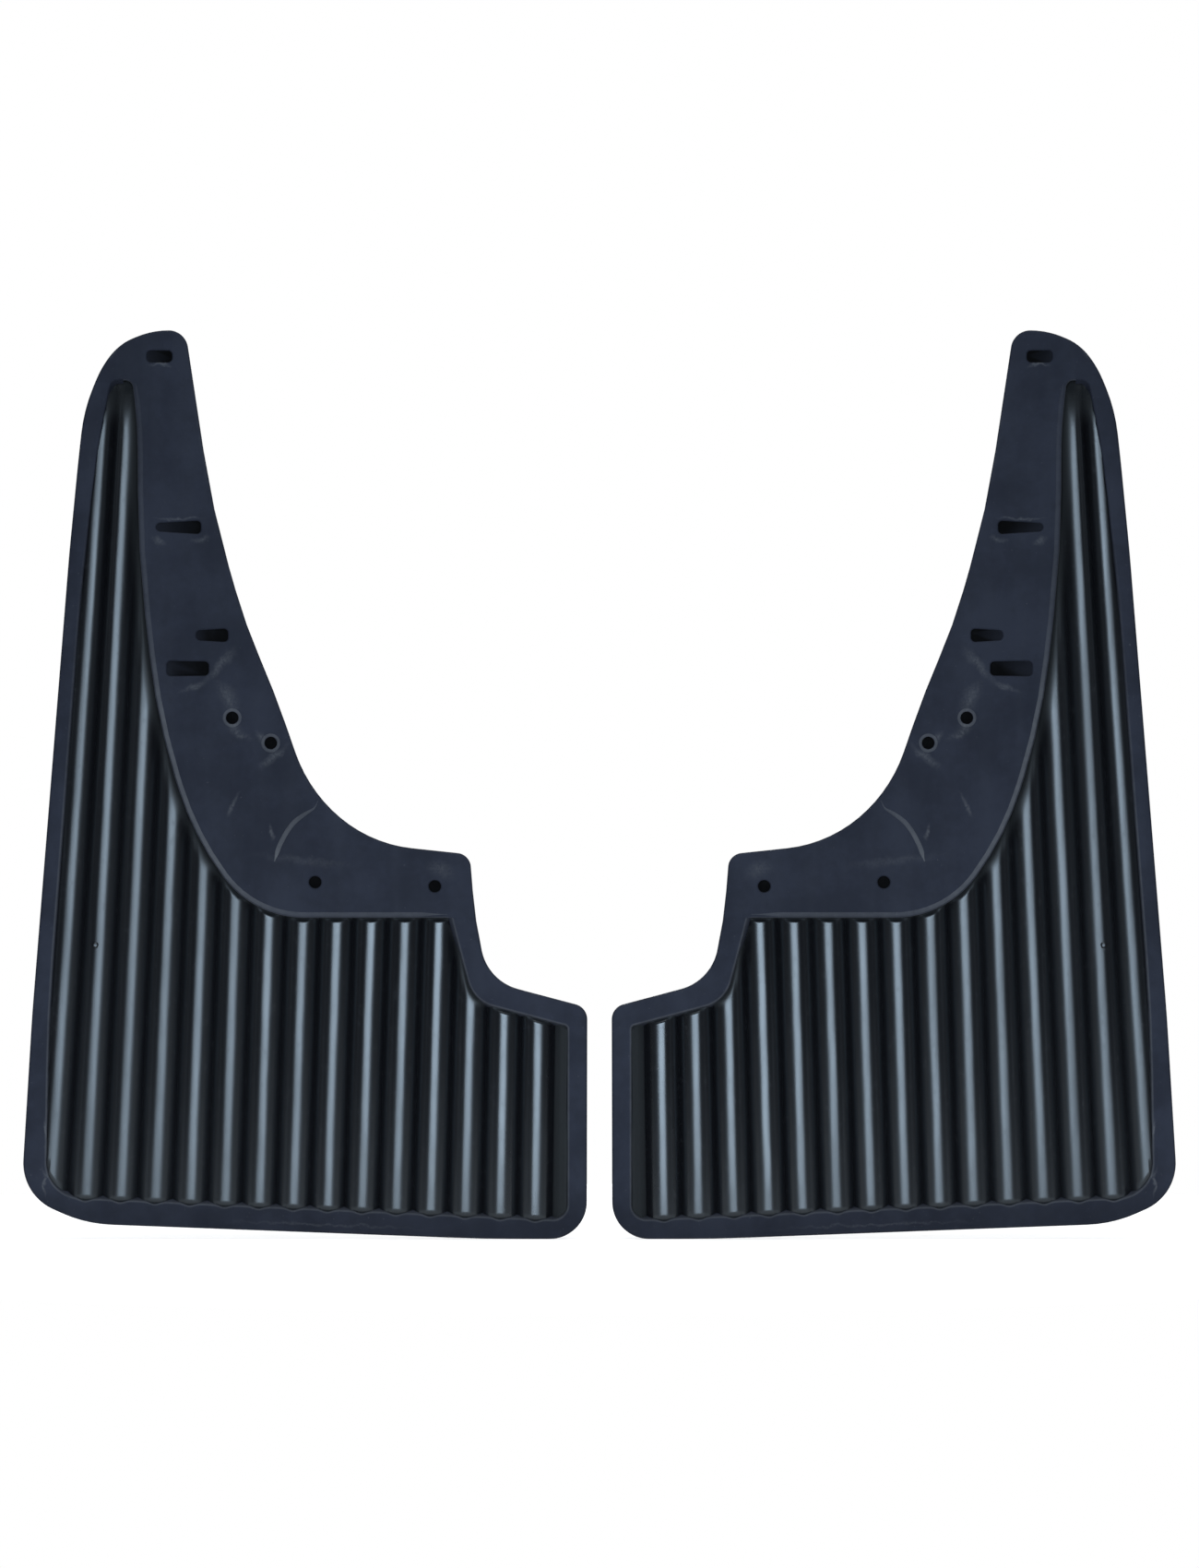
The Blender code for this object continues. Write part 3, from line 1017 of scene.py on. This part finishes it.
def addPanel(side, sign):
    offsets, falls = ribProfile()
    ring = grown(pocket, panel["tuck"] * mm)
    fromTop = np.array(panel["fromTop"]) * mm
    fromBottom = np.array(panel["fromBottom"]) * mm
    levels = np.concatenate([np.arange(*run) for run in panel["levels"]]) * mm
    columns = []
    falling = []
    lastHalf = []
    for number in range(-panel["columnsPerRib"] // 2, panel["ribs"] * panel["columnsPerRib"]):
        place = number / panel["columnsPerRib"]
        crossing = crossingHeights(place, ring)
        if crossing is None:
            continue
        start, slope, low, high = crossing
        if high - low < panel["shortest"] * mm:
            continue
        middle = (low + high) / 2
        rows = np.concatenate(
            [
                np.minimum(low + fromBottom, middle),
                np.clip(levels, min(low + fromBottom[-1], middle), max(high - fromTop[-1], middle)),
                np.maximum(high - fromTop[::-1], middle),
            ]
        )
        rows = np.sort(rows)
        u = start - slope * (rows - panel["crestHeight"] * mm)
        across = (place - round(place)) * panel["pitch"]
        columns.append(np.stack([u, rows], axis=1))
        falling.append(float(np.interp(across, offsets, falls)))
        lastHalf.append(place > panel["ribs"] - 0.5)
    grid = np.array(columns)
    flat = grid.reshape(-1, 2)
    upper = upperEdge()
    near = distanceTo(flat, upper).reshape(grid.shape[:2])
    inside = insidePocket(flat).reshape(grid.shape[:2])
    near = np.where(inside, near, 0)
    endFall = panel["endDip"] * (1 - ease(near / (panel["endLength"] * mm)))
    toNose = noseTop - grid[:, :, 1]
    noseFall = panel["noseDip"] * (1 - ease(toNose / (panel["noseLength"] * mm)))
    highest = panel["crestFront"] + np.maximum(endFall, noseFall)
    depth = panel["crestFront"] + np.array(falling)[:, None] * np.ones(grid.shape[1])
    depth = np.maximum(depth, highest) * mm
    level, slanted, steep = panel["dullShadedLengths"]
    places, heights = grid[:, :, 0] / mm, grid[:, :, 1] / mm
    start, length = panel["slantHeights"]
    reach = level + (slanted - level) * ease((heights - start) / length)
    stepFrom, stepTo, stepTop = panel["besideStep"]
    besideStep = (places > stepFrom) & (places < stepTo) & (heights < stepTop)
    reach = np.where(besideStep, steep, reach)
    first, last = panel["dullShadedNose"]
    # painted shade, with duller gloss: beside the flange and the step, at the nose, and on the last
    # half rib
    dullAndShaded = np.maximum(1 - ease(near / (reach * mm)), ease((heights - first) / (last - first)))
    dullAndShaded[lastHalf] = 1
    work = bmesh.new()
    gloss = work.verts.layers.float.new("dullAndShaded")
    rows = []
    for column, depths, shades in zip(grid, depth, dullAndShaded):
        row = [work.verts.new((sign * u, y, z)) for (u, z), y in zip(column, depths)]
        for vert, shade in zip(row, shades):
            vert[gloss] = shade
        rows.append(row)
    for first, second in zip(rows, rows[1:]):
        for j in range(len(first) - 1):
            work.faces.new((first[j], first[j + 1], second[j + 1], second[j]))
    bmesh.ops.remove_doubles(work, verts=work.verts, dist=0.02 * mm)
    bmesh.ops.dissolve_degenerate(work, edges=work.edges, dist=0.01 * mm)
    work.normal_update()
    backward = [face for face in work.faces if face.normal.y > 0]
    bmesh.ops.reverse_faces(work, faces=backward)
    mesh = bpy.data.meshes.new(f"{side}_ribs")
    work.to_mesh(mesh)
    work.free()
    sheet = bpy.data.objects.new(f"{side}_sheet", mesh)
    collection.objects.link(sheet)
    shell = sheet.modifiers.new("thickness", "SOLIDIFY")
    shell.thickness = panel["thickness"] * mm
    shell.offset = -1
    solid = evaluatedMesh(sheet, f"{side}_ribs")
    bpy.data.objects.remove(sheet, do_unlink=True)
    piece = newPiece(f"{side}_ribs", solid, ribRubber, 60)
    blendAtBend(piece)
    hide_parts(f"{side}_ribbed_panel_upper", f"{side}_ribbed_panel_lower")
    return piece


def upperEdge():
    # the pocket edge along the step, the flange and the nose
    order = np.roll(pocket, -nearestTo(pocket, pocketCorner("noseCorner")), axis=0)
    return order[: nearestTo(order, pocketCorner("innerCorner")) + 1]


def insidePocket(points):
    inside = np.zeros(len(points), bool)
    following = np.roll(pocket, -1, axis=0)
    for (ax, ay), (bx, by) in zip(pocket, following):
        if ay == by:
            continue
        spans = (ay > points[:, 1]) != (by > points[:, 1])
        meet = (bx - ax) * (points[:, 1] - ay) / (by - ay) + ax
        inside ^= spans & (points[:, 0] < meet)
    return inside


# gate mark: the stub left where the rubber was let into the mould
gate = {
    "u": 273.0,
    "z": 159.2,
    "radius": 1.5,
    "height": 1.0,
    # share of the radius and depth below its top, from the foot to the dimple
    "profile": ((1.25, 1.6), (1.0, 0.5), (0.85, 0.15), (0.55, 0), (0.5, 0.3)),
    "uneven": 0.08,
}


def addGateMark(side, sign):
    top = panel["crestFront"] - gate["height"]
    sections = []
    for share, below in gate["profile"]:
        ring = []
        for turn in np.linspace(0, 2 * math.pi, 20, endpoint=False):
            reach = gate["radius"] * share * (1 + gate["uneven"] * math.sin(3 * turn + 0.6))
            u = gate["u"] + reach * math.cos(turn)
            z = gate["z"] + reach * math.sin(turn)
            ring.append((sign * u * mm, (top + below) * mm, z * mm))
        sections.append(ring)
    mesh = loftedMesh(f"{side}_gate_mark", sections)
    piece = newPiece(f"{side}_gate_mark", mesh, ribRubber, 50)
    blendAtBend(piece)


for side, sign in sides:
    addFlange(side, sign)
    addCrease(side, sign)
    addCollars(side, sign)
    addLip(side, sign)
    addRim(side, sign)
    addPanel(side, sign)
    addGateMark(side, sign)
    print(side, "flap built")


# floor, lights and camera
studio = {
    "floorRadius": 0.55,
    "floorColour": (0.55, 0.55, 0.55),
    "floorGlow": 0.55,
    "daylight": 2.8,  # even light from above that whitens the floor
    "daylightTilt": 8,  # degrees from straight down, towards the camera
    "daylightSpread": 50,
    "backdrop": 1.0,  # brightness that the camera sees behind the flaps
    "ambient": 0.05,
    "ambientColour": (0.9, 0.95, 1),
    "cameraDistance": 4.0,
    "sensor": 36,  # mm high
    "frameHeight": 0.850,  # metres seen from the top to the bottom of the picture
    "aim": (0, 0, 0.2465),
}
lamps = {
    # place, size, power in watts, colour
    "key": ((0, -3.2, 0.45), 1.6, 118, (0.84, 0.92, 1.0)),
    "back": ((0, 3.4, 1.2), 1.8, 75, (0.92, 0.96, 1.0)),
    "leftSide": ((-3.0, -0.6, 0.8), 1.2, 2.5, (0.92, 0.96, 1.0)),
    "rightSide": ((3.0, -0.6, 0.8), 1.2, 2.5, (0.92, 0.96, 1.0)),
}


def addFloor():
    work = bmesh.new()
    bmesh.ops.create_circle(work, cap_ends=True, segments=96, radius=studio["floorRadius"])
    mesh = bpy.data.meshes.new("floor")
    work.to_mesh(mesh)
    work.free()
    floor = bpy.data.objects.new("floor", mesh)
    collection.objects.link(floor)
    material, value, shader = newMaterial("pale floor")
    shader.inputs["Base Color"].default_value = colour(studio["floorColour"])
    shader.inputs["Roughness"].default_value = 0.9
    shader.inputs["Specular IOR Level"].default_value = 0.1
    shader.inputs["Emission Color"].default_value = (1, 1, 1, 1)
    shader.inputs["Emission Strength"].default_value = studio["floorGlow"]
    mesh.materials.append(material)


def addLamps():
    target = Vector(studio["aim"])
    for name, (place, size, power, tint) in lamps.items():
        light = bpy.data.lights.new(name, "AREA")
        light.shape = "DISK"
        light.size = size
        light.energy = power
        light.color = tint
        lamp = bpy.data.objects.new(name, light)
        lamp.location = place
        lamp.rotation_euler = (target - Vector(place)).to_track_quat("-Z", "Y").to_euler()
        collection.objects.link(lamp)
    daylight = bpy.data.lights.new("daylight", "SUN")
    daylight.energy = studio["daylight"]
    daylight.angle = math.radians(studio["daylightSpread"])
    lamp = bpy.data.objects.new("daylight", daylight)
    lamp.rotation_euler = (math.radians(studio["daylightTilt"]), 0, 0)
    collection.objects.link(lamp)


def addWorld():
    world = bpy.data.worlds.new("studio")
    world.use_nodes = True
    bpy.context.scene.world = world
    tree = world.node_tree
    tree.nodes.clear()
    value = Value(tree)
    dim = value.node(
        "ShaderNodeBackground",
        inputs={"Color": colour(studio["ambientColour"]), "Strength": studio["ambient"]},
    )
    seen = value.node(
        "ShaderNodeBackground", inputs={"Color": (1, 1, 1, 1), "Strength": studio["backdrop"]}
    )
    direct = value.node("ShaderNodeLightPath")
    both = value.node("ShaderNodeMixShader", inputs={0: direct, 1: dim, 2: seen})
    value.node("ShaderNodeOutputWorld", inputs={"Surface": both})


def addCamera():
    data = bpy.data.cameras.new("camera")
    data.sensor_fit = "VERTICAL"
    data.sensor_height = studio["sensor"]
    data.lens = studio["sensor"] * studio["cameraDistance"] / studio["frameHeight"]
    camera = bpy.data.objects.new("camera", data)
    x, y, z = studio["aim"]
    camera.location = (x, y - studio["cameraDistance"], z)
    camera.rotation_euler = (math.pi / 2, 0, 0)
    collection.objects.link(camera)
    bpy.context.scene.camera = camera


bpy.context.scene.view_settings.view_transform = "Standard"
addFloor()
addLamps()
addWorld()
addCamera()
print("studio ready")
